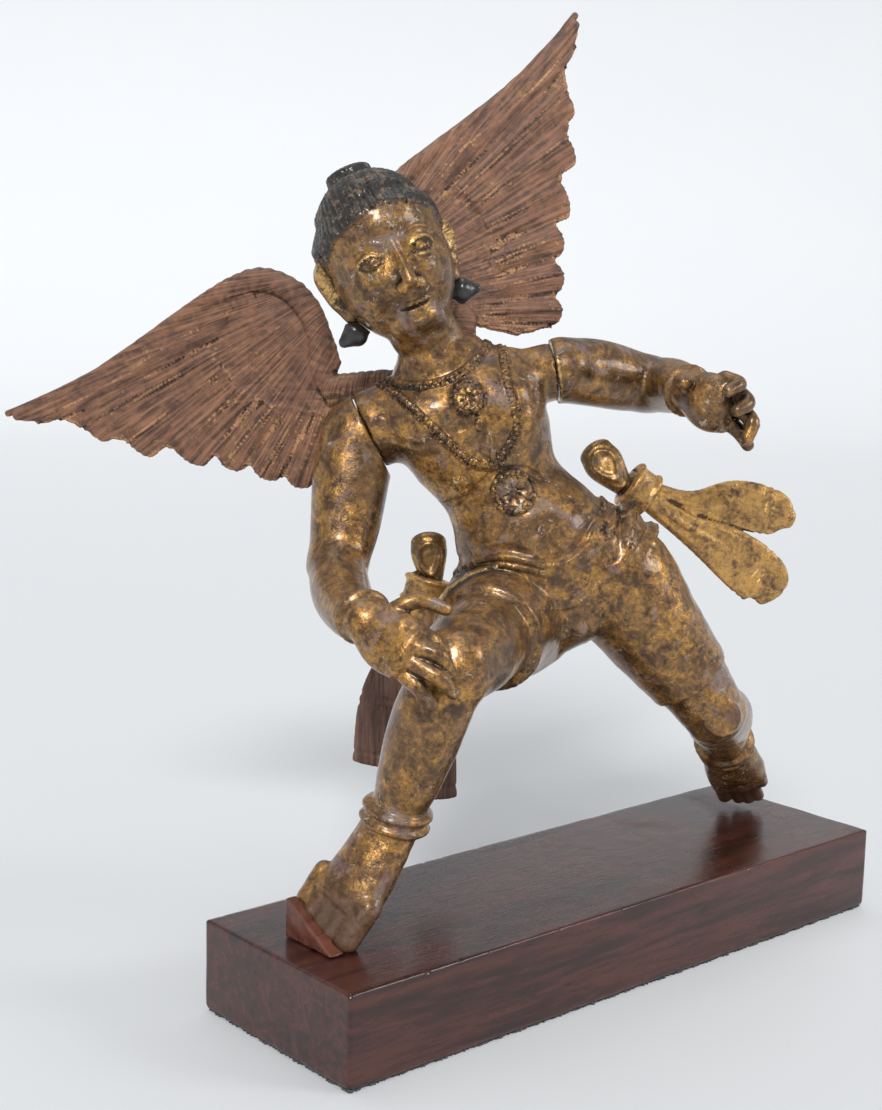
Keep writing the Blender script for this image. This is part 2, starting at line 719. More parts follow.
def head_relief(points, value):
    left, up, front = head_axes(points)
    head = (np.abs(value) < 7) & (up > -48) & (up < 54) & (left**2 + (front + 4) ** 2 < 52**2)
    if not head.any():
        return
    left, up, front = left[head], up[head], front[head]
    points, near = points[head], value[head]
    facing = rise(front, 0, 12) * (up < 33)
    near -= FACE_CHART.at(left, up) * facing
    for form in LIPS:
        form.join(points, near)
    line = MOUTH_UP - 0.35 + 0.9 * (np.abs(left) / 9) ** 2
    near += rib(up - line, 0.7, 1.3) * (1 - rise(np.abs(left), 7, 10)) * facing
    for out in (1, -1):
        nostril = np.sqrt((left - out * 2.5) ** 2 + (up + 19.4) ** 2 + (front - 39) ** 2) - 1.5
        near = -melt(-near, nostril, 0.6)
    socket = facing > 0.5
    near[socket] = add_eyes(left[socket], up[socket], front[socket], near[socket])
    base = np.full(len(points), FAR)
    SKULL_FORM.join(points, base)
    HAIR_FORM.join(points, base)
    height, covered = hair_height(left, up, front)
    hair = base - height
    near = np.where(covered > 0.02, melt(near, hair, 0.6), near)
    near -= bun_height(left, up, front) * (up > 30) * (front < -10)
    for hollow, fold in zip(EAR_HOLLOWS, EAR_FOLDS):
        hollow_out(points, near, hollow)
        fold.join(points, near)
    value[head] = near


def right_leg_forms():
    thigh = [
        (mix(PELVIS, RIGHT_HIP, 0.5), 36, 36),
        (RIGHT_HIP - UPWARDS * 3, 36, 37),
        (mix(RIGHT_HIP, RIGHT_HEM, 0.6), 32, 33),
        (RIGHT_HEM - UPWARDS * 1.5, 30, 30.5),
    ]
    knee = [(RIGHT_HEM, 25, 25), (mix(RIGHT_HEM, RIGHT_KNEE, 0.55), 24, 24), (RIGHT_KNEE, 20, 21)]
    shin = [
        (RIGHT_KNEE - UPWARDS * 2, 17, 18),
        (spot(-128, -28, 168), 19.5, 20),
        (spot(-132, -19, 139), 17.5, 18),
        (RIGHT_ANKLE, 13, 14),
    ]
    return [
        Form(thigh, UPWARDS, (0.6, 0.12), 3),
        Form(knee, UPWARDS, (0, 0.8), 1),
        Form(shin, CHEST_FRONT, (0.8, 0.5), 5),
    ]


def left_leg_forms():
    thigh = [
        (mix(PELVIS, LEFT_HIP, 0.4), 34.5, 33),
        (LEFT_HIP, 34, 32),
        (mix(LEFT_HIP, LEFT_HEM, 0.55), 28.5, 29),
        (LEFT_HEM, 24, 24),
    ]
    knee = [(mix(LEFT_HIP, LEFT_HEM, 0.8), 21.5, 21), (LEFT_HEM, 21.5, 21.5), (LEFT_KNEE, 18, 18)]
    knee_cap = [(LEFT_KNEE + CHEST_FRONT * 8, 13, 13), (LEFT_KNEE + CHEST_FRONT * 22, 11, 11)]
    shin = [
        (LEFT_KNEE, 16, 16),
        (spot(93, -30, 133), 20, 19),
        (spot(119, -11, 119), 17, 17),
        (LEFT_ANKLE, 14, 14),
    ]
    return [
        Form(thigh, CHEST_FRONT, (1, 0.1), 7),
        Form(knee, CHEST_FRONT, (0, 0.8), 1),
        Form(knee_cap, UPWARDS, (0, 0.15), 3),
        Form(shin, CHEST_FRONT, (0.8, 0.5), 5),
    ]


def foot_forms(ankle, instep, big_toe, small_toe, heel, half_widths, toe_radius, toe_reach):
    middle = mix(big_toe, small_toe, 0.5)
    run = unit(middle - ankle)
    top = unit(np.cross(small_toe - big_toe, run))
    body = [
        (ankle - run * 4, half_widths[0], 13),
        (instep, half_widths[1], 12),
        (middle - run * 9, half_widths[2], 8),
    ]
    forms = [
        Form(body, top, (0.6, 0.5), 4),
        Form([(heel, 10, 10), (mix(heel, instep, 0.4), 11, 10)], top, blend=5),
    ]
    for i, share in enumerate((0.1, 0.34, 0.54, 0.74, 0.92)):
        root = mix(big_toe, small_toe, share)
        radius = toe_radius * (1.25 if i == 0 else 1)
        tip = root + run * (toe_reach[i] - radius)
        forms.append(Form([(root - run * 16, radius, radius), (tip, radius, radius * 0.9)], top, blend=1.5))
    return forms


def right_foot_forms():
    return foot_forms(
        ankle=RIGHT_ANKLE,
        instep=spot(-154, -6, 82),
        big_toe=spot(-168, -20, 56),
        small_toe=spot(-173, 18, 70),
        heel=spot(-128, 0, 96),
        half_widths=(14, 18.5, 20.5),
        toe_radius=5.6,
        toe_reach=(11, 12, 12, 10, 6),
    )


def left_foot_forms():
    return foot_forms(
        ankle=LEFT_ANKLE,
        instep=spot(162, 12, 80),
        big_toe=spot(164, 25, 60),
        small_toe=spot(186, 3, 64),
        heel=spot(151, 20, 96),
        half_widths=(14, 18.5, 17),
        toe_radius=4,
        toe_reach=(8, 11, 12, 10, -4),
    )


def dress_forms():
    stub = [(spot(-18, -18, 210), 6, 7), (spot(-22, -24, 204), 7, 7), (spot(-23, -27, 200), 5, 5)]
    return [
        ring(RIGHT_ANKLE, [-0.1, 0.22, -0.97], CHEST_FRONT, (15.2, 15.2), DOUBLE_RING),
        ring(LEFT_ANKLE, [0.72, 0.45, -0.5], CHEST_FRONT, (15, 15), DOUBLE_RING),
        Form(stub, CHEST_FRONT, blend=2),
    ]


LIPS = lips()
HEAD_FORMS = head_forms()
TRUNK_FORMS = trunk_forms()
RIGHT_LEG_FORMS = right_leg_forms()
CLEARANCE = field_of(TRUNK_FORMS + RIGHT_LEG_FORMS)


def stand_on_plinth(points, value):
    np.maximum(value, PLINTH_TOP + GAP - points[:, 2], out=value)


def chest_axes(points):
    offset = points - CHEST
    return offset @ CHEST_LEFT, offset @ CHEST_UP, offset @ CHEST_FRONT


COLLAR = [(-47, 18), (-38, 14), (-30, 11), (-18, 11), (-5, 15), (7, 25), (12, 33), (13.5, 41)]
NECKLACE = [(-45, 14.5), (-39, 9), (-24, -5), (-3, -25), (7, -31), (17, -30), (24, -21), (28, -11),
            (26, 0), (23, 12), (21, 24), (19.5, 40)]
BEAD_PITCH = 2.3
MEDALLION = (2, 3, 10)
BELLY_ROSETTE = (26, -45, 12)
SMALL_ROSETTE = (-2, -42, 5)


def strap(left, up, line, half):
    """A flat band with a raised rim on its outer side and a row of beads."""
    across, along = along_curve(left, up, line)
    body = 1.5 * (1 - rise(np.abs(across), half - 0.5, half + 0.3))
    rim = rib(across + half - 0.6, 1.0, 0.9)
    row = beads(along, across - 0.5, BEAD_PITCH, 1.15)
    return body + rim + row


def rosette(left, up, middle, radius, petals, rim_beads):
    """A round medallion: beaded rim, ring, petals and a boss."""
    x, y = left - middle[0], up - middle[1]
    out, turn = np.hypot(x, y), np.arctan2(x, y)
    disc = 2.1 * (1 - rise(out, radius - 0.7, radius + 0.5))
    rim = beads(turn * (radius - 1.2), out - radius + 1.2, 2 * math.pi * (radius - 1.2) / rim_beads, 1.0)
    ring = rib(out - radius * 0.68, 0.9, 0.6)
    petal = 0.9 * np.abs(np.cos(turn * petals / 2)) ** 0.7 * rib(out - radius * 0.38, radius * 0.36, 1)
    boss = rib(out, radius * 0.16, 1.2)
    carving = rim + ring + petal + boss - 0.5 * rib(out - radius * 0.85, 0.6, 1)
    return disc + np.where(out < radius + 1, carving, 0)


def chest_heights(left, up):
    collar = strap(left, up, COLLAR, 2.3)
    necklace = strap(left, up, NECKLACE, 2.6)
    height = np.maximum(collar, necklace)
    medal = rosette(left, up, MEDALLION[:2], MEDALLION[2], 8, 20)
    drop = 2.0 * (1 - rise(np.hypot((left - 7.5) / 1.0, (up + 10.5) / 1.7), 1.5, 2.4))
    lower = rosette(left, up, BELLY_ROSETTE[:2], BELLY_ROSETTE[2], 8, 24)
    small = rosette(left, up, SMALL_ROSETTE[:2], SMALL_ROSETTE[2], 6, 10) * 0.45
    tab = 1.6 * (1 - rise(np.abs(left - 15), 1.2, 1.9)) * (1 - rise(np.abs(up + 27), 4, 4.8))
    for piece in (medal, drop, lower, small, tab):
        height = np.maximum(height, piece)
    for middle in ((-44, -8), (3, -31)):
        height -= rib(np.hypot(left - middle[0], up - middle[1]) - 3, 0.6, 0.35)
    # Creases over and beside the round belly, and the navel
    across, _ = along_curve(left, up, [(-12, -52), (2, -47), (16, -35), (32, -33), (44, -40)])
    height -= rib(across, 3.2, 1.1) * (height < 0.3)
    height -= hill(left, up, (10, -66), (2.2, 2.6), 1.6)
    across, _ = along_curve(left, up, [(-38, -16), (-24, -21), (-10, -15), (0, -12)])
    height -= rib(across, 2.6, 0.5) * (height < 0.3)
    return height


CHEST_CHART = Chart((-50, -90), (50, 45), 0.2, chest_heights)


def chest_relief(points, value):
    left, up, front = chest_axes(points)
    near = (np.abs(value) < 6) & (up > -88) & (up < 44) & (np.abs(left) < 50) & (front > -6)
    facing = rise(front[near], -4, 4)
    value[near] -= CHEST_CHART.at(left[near], up[near]) * facing


BELT_UPPER = [(-26, -112), (-20, -103), (-12, -93), (-3, -86), (6, -81.5), (19.5, -79), (32, -81),
              (44, -83.5), (56, -81), (66, -73), (71, -64), (78.4, -57.3), (88.5, -46), (102, -36)]
BELT_LOWER = [(40, -106), (52, -106), (60, -104), (67, -98),
              (75.5, -89.4), (85.7, -80.5), (95.7, -67), (106, -54)]
BELT_MIDDLE = spot(-32, 19, 229)
BELT_AXIS = unit([-0.22, 0.34, 0.915])


def belt_heights(left, up):
    """The belt's front: a band that hangs in a curve under the belly, with two cords along its upper edge."""
    upper, _ = along_curve(left, up, BELT_UPPER)
    lower, _ = along_curve(left, up, BELT_LOWER)
    band = 1.1 * rise(-upper, -0.5, 1.0) * rise(lower, -0.5, 0.6) * rise(left, 36, 46)
    pair = cord(upper, 1.5, 1.9) + cord(upper + 4.4, 1.4, 1.5)
    edge = cord(lower, 1.3, 1.2) * rise(left, 40, 50)
    return band + pair + edge - cord(upper - 4.6, 2.2, 1.3)


BELT_CHART = Chart((-40, -125), (110, -28), 0.25, belt_heights)


def belt_relief(points, value):
    """Round the back the belt is a plain band with a cord along either edge."""
    left, up, front = chest_axes(points)
    across = (points - BELT_MIDDLE) @ BELT_AXIS
    near = (np.abs(value) < 6) & (np.abs(across) < 46) & (front < 20) & (left > -50)
    left, up, front, across = left[near], up[near], front[near], across[near]
    facing = rise(front, -34, -18)
    back = 1.1 * (1 - rise(np.abs(across), 7.5, 9.5)) + cord(np.abs(across) - 8.5, 1.4, 1.3)
    value[near] -= BELT_CHART.at(left, up) * facing + back * (1 - facing)


def hand_cut(points, value):
    near = np.abs(value) < 6
    value[near] += 0.16 * wobble(points[near], 16, 5) + 0.07 * wobble(points[near], 5, 6)


def hair_mask(points):
    left, up, front = head_axes(points)
    covered = hair_height(left, up, front)[1]
    out = np.abs(left)
    ear = (out > 31.5) & (up < 12) & (front > -14) & (front < 8)
    head = (up > -24) & (left**2 + (front + 5) ** 2 < 44**2)
    bun = (up > 31) & (front < -14)
    return np.where(head & ~ear, np.maximum(covered, bun), 0)


def strand_mask(points):
    """Fine strands of hair, at twice the pitch of the carved locks."""
    left, up, front = head_axes(points)
    direction = np.stack([left, up - 4, front + 3])
    return 0.5 + 0.5 * np.cos(np.arctan2(HAIR_LEFT @ direction, HAIR_BACK @ direction) * STRANDS * 2)


def bare_mask(points):
    """Where the finish is worn off to the wood: the toes, the heels and the knees."""
    toes = 0
    for place, reach in (((-172, -8, 58), 24), ((178, 16, 58), 24), ((62, -74, 146), 11)):
        toes = toes + np.exp(-(np.linalg.norm(points - np.array(place), axis=1) / reach) ** 4)
    return np.clip(toes, 0, 1)


def build_figure():
    forms = TRUNK_FORMS + HEAD_FORMS + RIGHT_LEG_FORMS + left_leg_forms()
    forms += right_foot_forms() + left_foot_forms() + dress_forms()
    smooth = field_of(forms, [stand_on_plinth])
    carved = field_of(forms, [head_relief, chest_relief, belt_relief, hand_cut, stand_on_plinth])
    busy, belt_busy = CHEST_CHART.steepness(), BELT_CHART.steepness()

    def wanted(points):
        size = np.full(len(points), 2.4)
        left, up, front = head_axes(points)
        head = (up > -46) & (left**2 + (front + 4) ** 2 < 48**2)
        size[head] = 1.14
        out = np.abs(left)
        size[head & (front > 8) & (up < 20) & (up > -42)] = 0.92
        size[head & (front > 20) & (np.hypot(out - EYE_OUT, up) < 9.5)] = 0.5
        size[head & (front > 22) & (out < 11) & (up < -12) & (up > -33)] = 0.6
        left, up, front = chest_axes(points)
        chest = (front > 0) & (np.abs(left) < 50) & (up > -88) & (up < 44)
        size[chest & (busy.at(left, up) > 0.3)] = 0.62
        belt = (np.abs((points - BELT_MIDDLE) @ BELT_AXIS) < 46) & (front < 20)
        size[belt & (belt_busy.at(left, up) > 0.2)] = 0.88
        feet = points[:, 2] < 122
        size[feet] = np.minimum(size[feet], 1.45)
        return size

    masks = [("hair", hair_mask), ("strand", strand_mask), ("bare", bare_mask)]
    return sculpt("angel", smooth, carved, (-181, -73, 47), (189, 101, 446), 2.4, wanted, masks)


def make_room(points, value):
    value[:] = -melt(-value, CLEARANCE(points) - 0.6, 1.5)


# Arms
FINGER_RADII = (4.6, 4.2, 3.4)


def hand_forms(palm, thin, digits):
    forms = [Form(palm, thin, (0.5, 0.5), 2)]
    for points in digits:
        stations = [(point, radius, radius) for point, radius in zip(points, FINGER_RADII)]
        forms.append(Form(stations, [0.1, 0.2, 1], blend=1))
    return forms


def right_hand_forms():
    palm = [(spot(-158, -13, 217), 12, 9), (spot(-157, -28, 210), 16, 8), (spot(-155, -41, 205), 15, 7)]
    digits = [
        [spot(-154, -35, 217), spot(-146, -46, 212), spot(-137, -46, 204)],
        [spot(-154, -42, 209), spot(-146, -53, 205), spot(-139, -54, 195)],
        [spot(-154, -43, 201), spot(-147, -55, 194), spot(-139, -56, 186)],
        [spot(-155, -39, 194), spot(-152, -46, 188), spot(-145, -47, 179)],
        [spot(-154, -23, 221), spot(-143, -32, 228), spot(-128, -37, 223)],
    ]
    return hand_forms(palm, CHEST_FRONT, digits)


def left_hand_forms():
    palm = [(spot(25, -56, 327), 11, 10), (spot(22, -70, 323), 16, 11), (spot(24, -81, 321), 15, 8)]
    digits = [
        [spot(24, -80, 335), spot(23, -90, 333), spot(14, -91, 330)],
        [spot(28, -81, 331), spot(27, -93, 324), spot(18, -94, 320)],
        [spot(30, -80, 323), spot(32, -92, 314), spot(28, -93, 304)],
        [spot(28, -75, 315), spot(32, -84, 308), spot(34, -89, 301)],
        [spot(20, -60, 331), spot(13, -64, 332), spot(6, -67, 333)],
    ]
    return hand_forms(palm, CHEST_LEFT, digits)


def beyond_seam(middle, out):
    def cut(points, value):
        np.maximum(value, GAP / 2 - past_seam(points, middle, out), out=value)

    return cut


def build_right_arm():
    elbow = spot(-130, 49, 230)
    wrist = spot(-158, -11, 217)
    fore_run = unit([-0.35, -0.92, -0.15])
    upper = [
        (spot(-107, 60, 299), 20, 18.5),
        (spot(-114, 58, 278), 20.5, 19),
        (spot(-121, 54, 252), 18.5, 17.5),
        (elbow, 15, 15),
    ]
    fore = [
        (elbow + UPWARDS * 3, 15, 15),
        (spot(-142, 29, 222), 15.5, 15.5),
        (spot(-153, 6, 217), 13.5, 13.5),
        (wrist, 12, 11.5),
    ]
    forms = [
        Form(right_shoulder(), CHEST_FRONT, blend=6),
        Form(upper, CHEST_FRONT, (0.8, 0.6), 5),
        Form(fore, UPWARDS, blend=5),
        ring(wrist - fore_run * 3, fore_run, UPWARDS, (12.5, 12.5), SINGLE_RING),
    ] + right_hand_forms()
    smooth = field_of(forms, [beyond_seam(RIGHT_SEAM, RIGHT_SEAM_OUT), make_room])

    def wanted(points):
        return np.full(len(points), 1.5)

    return sculpt("arm_with_resting_hand", smooth, smooth, (-175, -63, 172), (-86, 84, 325), 1.8, wanted)


def build_left_arm():
    elbow = spot(48, -6, 327)
    wrist = spot(25, -56, 327)
    fore_run = unit([-0.4, -0.91, -0.05])
    upper = [
        (spot(-16, 2, 336), 16, 17.5),
        (spot(8, -1, 334), 18.5, 18.5),
        (spot(30, -4, 330), 18, 17.5),
        (elbow, 15, 15),
    ]
    fore = [(elbow - CHEST_LEFT * 2, 16, 15), (spot(39, -31, 328), 15, 15), (wrist, 12, 11.5)]
    forms = [
        Form(left_shoulder(), CHEST_FRONT, blend=6),
        Form(upper, UPWARDS, (0.8, 0.8), 5),
        Form(fore, UPWARDS, blend=5),
        ring(wrist - fore_run * 3, fore_run, UPWARDS, (12.5, 12), SINGLE_RING),
    ] + left_hand_forms()
    smooth = field_of(forms, [beyond_seam(LEFT_SEAM, LEFT_SEAM_OUT), make_room])

    def wanted(points):
        return np.full(len(points), 1.5)

    return sculpt("arm_with_raised_hand", smooth, smooth, (-35, -101, 292), (67, 24, 358), 1.8, wanted)


# Wings: x outwards along the span, y towards the leading edge, z towards the figure's front
WING_UP = unit([-0.374, 0.497, 0.783])
PLATE_THICKNESS = 4.4
LEADING_ROLL = [
    (4, -4, 7), (2, 14, 7), (-8, 30, 7), (-12, 46, 7), (-9, 62, 7), (0, 74, 7),
    (14, 80, 6.5), (38, 84, 5.5), (75, 87, 4.5), (112, 91, 3.8), (143, 98, 3), (168, 106, 2),
]
NOTCHES = [(141, 81), (128, 60), (107, 39), (84, 16), (70, -2), (57, -19), (44, -33)]
QUILL_ROOTS = [(49, 58), (49, 47), (48, 33), (39, 14), (32, 1), (23, -10)]
LONG_FEATHER = [(9, 66, 9), (60, 77, 10), (110, 83, 9), (143, 91, 7.5), (163, 102, 4)]
COVERT = [(2, 10, 12), (6, 30, 22), (14, 52, 24), (26, 70, 14)]
FEATHER_HALF_THICKNESS = 3
FIRST_RISE = 0.9
RISE_STEP = 0.25


def polygon_distance(points, corners):
    """Signed distance in the plane to a closed outline, below zero inside."""
    corners = np.asarray(corners, float)
    nearest = np.full(len(points), np.inf)
    inside = np.zeros(len(points), bool)
    for a, b in zip(corners, np.roll(corners, -1, 0)):
        run = b - a
        offset = points - a
        share = np.clip(offset @ run / (run @ run), 0, 1)
        nearest = np.minimum(nearest, ((offset - share[:, None] * run) ** 2).sum(1))
        crosses = (a[1] > points[:, 1]) != (b[1] > points[:, 1])
        with np.errstate(divide="ignore", invalid="ignore"):
            where = a[0] + (points[:, 1] - a[1]) * run[0] / run[1]
        inside ^= crosses & (points[:, 0] < where)
    return np.where(inside, -1, 1) * np.sqrt(nearest)


class Wing:
    def __init__(self, root, span, offset):
        self.root, self.span = root, unit(span)
        front = unit(np.cross(self.span, WING_UP))
        self.front = front if front @ CHEST_FRONT > 0 else -front
        self.tenon_end = SHOULDERS - CHEST_FRONT * 14 + CHEST_LEFT * offset
        self.outline = [(x, y) for x, y, _ in LEADING_ROLL[:-1]] + [(160, 100)] + NOTCHES + [(24, -26)]

    def spot(self, x, y, rise=0.0):
        return self.root + self.span * x + WING_UP * y + self.front * rise

    def flat(self, points):
        offset = points - self.root
        # The span and the up direction aren't quite square to each other
        lean = self.span @ WING_UP
        a, b = offset @ self.span, offset @ WING_UP
        x = (a - lean * b) / (1 - lean**2)
        y = (b - lean * a) / (1 - lean**2)
        return x, y, offset @ self.front

    def plate(self, points, value):
        x, y, z = self.flat(points)
        near = (np.abs(z) < REACH + PLATE_THICKNESS) & (value > -3)
        flat = np.stack([x[near], y[near]], 1)
        found = np.maximum(polygon_distance(flat, self.outline), np.abs(z[near]) - PLATE_THICKNESS / 2)
        value[near] = melt(value[near], found, 1.0)

    def feathers(self):
        forms = []
        for i, (x, y) in enumerate(QUILL_ROOTS):
            ax, ay = NOTCHES[i]
            bx, by = NOTCHES[i + 1]
            half = math.hypot(ax - bx, ay - by) / 2
            tip_x, tip_y = (ax + bx) / 2, (ay + by) / 2
            rise = FIRST_RISE - RISE_STEP * i
            stations = []
            for share, wide in ((0, 0.55), (0.5, 0.9), (0.9, 1)):
                middle = self.spot(x + (tip_x - x) * share, y + (tip_y - y) * share, rise)
                stations.append((middle, half * wide, FEATHER_HALF_THICKNESS))
            forms.append(Form(stations, self.front, (1, 2.6), 0.6))
        return forms

    def relief(self, points, value):
        """Feathers with quills and barbs on both faces, a cross-hatched patch and a corded leading edge."""
        x, y, z = self.flat(points)
        near = (np.abs(value) < 5) & (np.abs(z) < 12)
        height = WING_CHART.at(x[near], y[near])
        value[near] -= height * np.where(z[near] > 0, 1.0, 0.8)

    def build(self, name):
        covert = [(self.spot(x, y), wide, 3.4) for x, y, wide in COVERT]
        roll = [(self.spot(x, y), radius, radius * 0.85) for x, y, radius in LEADING_ROLL]
        long_feather = [(self.spot(x, y, FIRST_RISE), wide, FEATHER_HALF_THICKNESS)
                        for x, y, wide in LONG_FEATHER]
        tenon = [(self.spot(2, 2), 10, 7), (self.tenon_end, 8, 8)]
        forms = [
            Form(covert, self.front, blend=1),
            Form(roll, self.front, (0.5, 1), 0.8),
            Form(long_feather, self.front, (0.5, 1), 0.6),
            Form(tenon, CHEST_UP, blend=2),
        ] + self.feathers()
        smooth = field_of(forms, [self.plate, make_room])
        carved = field_of(forms, [self.plate, self.relief, hand_cut, make_room])

        def wanted(points):
            return np.full(len(points), 0.95)

        def along_vanes(points):
            return fan_place(*self.flat(points)[:2])[0] * MM

        def across_vanes(points):
            return fan_place(*self.flat(points)[:2])[1] * MM

        masks = [("along", along_vanes), ("across", across_vanes)]
        corners = [self.spot(x, y) for x, y in self.outline + [(168, 106)]] + [self.tenon_end]
        low, high = np.min(corners, 0) - 12, np.max(corners, 0) + 12
        return sculpt(name, smooth, carved, low, high, 1.8, wanted, masks)


FAN_CENTRE = (-60, 42)
FAN_RADIUS = 150
GRAIN_PITCH = 3.4
BARB_PITCH = 2.4
HATCH_PITCH = 5.2


def fan_place(x, y):
    """How far out along the feathers a place lies, and how far across them, measured at the fan's middle."""
    x, y = x - FAN_CENTRE[0], y - FAN_CENTRE[1]
    return np.hypot(x, y), np.arctan2(y, x) * FAN_RADIUS


def feather_lines():
    """Each feather's quill, from its root among the coverts to the middle of its tip, and its half width."""
    lines = []
    for i, (x, y) in enumerate(QUILL_ROOTS):
        (ax, ay), (bx, by) = NOTCHES[i], NOTCHES[i + 1]
        lines.append(((x, y), ((ax + bx) / 2, (ay + by) / 2), math.hypot(ax - bx, ay - by) / 2))
    return lines


def wing_heights(x, y):
    height = np.zeros(x.shape)
    fan = np.full(x.shape, np.inf)
    for (rx, ry), (tx, ty), half in feather_lines():
        length = math.hypot(tx - rx, ty - ry)
        dx, dy = (tx - rx) / length, (ty - ry) / length
        along = (x - rx) * dx + (y - ry) * dy
        across = (y - ry) * dx - (x - rx) * dy
        wide = half * np.clip(0.55 + 0.45 * along / length, 0.4, 1.0)
        share = np.abs(across) / np.maximum(wide, 1)
        inside = (share < fan) & (along > -12)
        slant = along + 0.9 * np.abs(across)
        barbs = 0.2 * np.cos(slant * 2 * math.pi / BARB_PITCH) * rise(share, 0.12, 0.3)
        flute = -0.9 * np.cos(np.clip(share, 0, 1.2) * math.pi) * 0.5
        quill = rib(across, 1.3, 0.75) - rib(np.abs(across) - 1.4, 0.8, 0.3)
        shape = -flute * 0.9 + quill + barbs - rib(share - 1, 0.16, 0.8)
        height = np.where(inside, shape * rise(along, -12, 4), height)
        fan = np.where(inside, share, fan)
    across, along = along_curve(x, y, [(px, py) for px, py, _ in LONG_FEATHER])
    half = np.interp(along, [0, 60, 160], [9, 10, 5])
    share = np.abs(across) / half
    long_shape = (0.5 * np.cos(np.clip(share, 0, 1) * math.pi) + rib(across, 1.3, 0.7)
                  + 0.2 * np.cos((along + 0.9 * np.abs(across)) * 2 * math.pi / BARB_PITCH)
                  * rise(share, 0.15, 0.3)
                  - rib(share - 1, 0.14, 0.9))
    height = np.where(share < 1.1, long_shape, height)
    out, turn = fan_place(x, y)
    height += (0.24 * np.sin(turn * 2 * math.pi / GRAIN_PITCH + 1.5 * np.sin(out / 13))
               + 0.1 * np.sin(turn * 4.3))
    # Cross-hatched coverts over the roots of the feathers, with a raised strap round them
    across, along = along_curve(x, y, [(22, 72), (42, 62), (50, 44), (40, 20), (24, 2), (14, -8)])
    within = rise(-across, 0.5, 1.5)
    diagonal = [np.abs(np.sin((x * a + y * b) * math.pi / HATCH_PITCH))
                for a, b in ((0.8, 0.6), (0.55, -0.84))]
    net = 0.9 * np.minimum(*diagonal) ** 0.6 - 0.4
    height = height * (1 - within) + within * net
    height += rib(across, 2.4, 0.8)
    # Cord-like notches along the inner half of the leading edge
    across, along = along_curve(x, y, [(px, py) for px, py, _ in LEADING_ROLL])
    roll = np.abs(across) < 8
    cords = 0.55 * np.abs(np.sin((along + 0.6 * across) * math.pi / 5.5)) * (1 - rise(along, 110, 130))
    return np.where(roll, cords - 0.4 * rib(np.abs(across) - 6.5, 1.6, 1), height)


WING_CHART = Chart((-24, -48), (176, 116), 0.3, wing_heights)


RIGHT_WING = Wing(spot(-93, 96, 322), (-0.486, 0.614, -0.622), -9)
LEFT_WING = Wing(spot(-41, 59, 360), (0.799, -0.255, 0.544), 9)


# Sashes: a bow at each hip, with a loop, a bound knot and two stiff tails
KNOT_PROFILE = [(-8, -1), (-7.4, 1.2), (-6, 2.2), (-4.6, 1.4), (-3.4, 0.7), (3.4, 0.7), (4.6, 1.4), (6, 2.2),
                (7.4, 1.2), (8, -1)]


def build_sash(name, loop, knot, tails, low, high):
    run = unit(knot[1] - knot[0])
    forms = [
        Form(loop, CHEST_FRONT, (0.5, 1), 1),
        ring(mix(knot[0], knot[1], 0.5), run, CHEST_FRONT, (12, 8.5), KNOT_PROFILE),
    ]
    tail_forms = [Form(tail, CHEST_FRONT, (0.3, 0.8), 1) for tail in tails]
    loop_form = forms[0]
    smooth = field_of(forms + tail_forms, [make_room])

    def pleats(points, value):
        for form in tail_forms:
            across, place, near = form.sideways(points, value)
            folds = 0.8 * np.cos(across * math.pi * 3) * (1 - 0.8 * rise(place, 0.3, 0.7))
            border = rib(np.abs(across) - 0.72, 0.09, 0.7) * rise(place, 0.15, 0.3)
            border += (rib(place - 0.66, 0.022, 0.7) + rib(place - 0.71, 0.022, 0.7)
                       + rib(place - 0.95, 0.02, 0.6))
            border += rib(across, 0.07, 0.5) * rise(place, 0.71, 0.73)
            value[near] -= folds * rise(place, 0.02, 0.2) * 0.9 - border
        across, place, near = loop_form.sideways(points, value)
        oval = np.hypot(across / 0.62, (place - 0.55) / 0.42)
        value[near] += (1.5 * (1 - rise(oval, 0.55, 0.85)) - rib(oval - 1, 0.2, 0.7)
                        + rib(oval - 1.28, 0.12, 0.4))

    carved = field_of(forms + tail_forms, [pleats, make_room])

    def wanted(points):
        return np.full(len(points), 0.9)

    def loop_mask(points):
        return 1 - rise(np.abs(loop_form.distance(points)[0]), 0.8, 2.5)

    masks = [("bare", lambda points: rise(PLINTH_TOP + 148 - points[:, 2], 0, 12)), ("loop", loop_mask)]
    return sculpt(name, smooth, carved, low, high, 1.4, wanted, masks)


def build_left_sash():
    return build_sash(
        "sash_by_raised_hand",
        loop=[(spot(33, -2, 270), 6, 5), (spot(28, 7, 281), 11, 7), (spot(25, 12, 288), 10, 6)],
        knot=(spot(37, -4, 271), spot(46, -9, 264)),
        tails=[
            [(spot(46, -9, 267), 6, 4), (spot(66, -24, 260), 8, 3.5), (spot(88, -38, 260), 14, 3),
             (spot(108, -51, 255), 13, 2.5), (spot(116, -57, 251), 5, 2.5)],
            [(spot(44, -12, 262), 6, 4), (spot(62, -26, 247), 9, 3.5), (spot(82, -40, 233), 15, 3),
             (spot(99, -52, 217), 16, 2.5), (spot(104, -55, 207), 8, 2.5)],
        ],
        low=(13, -65, 197),
        high=(125, 24, 300),
    )


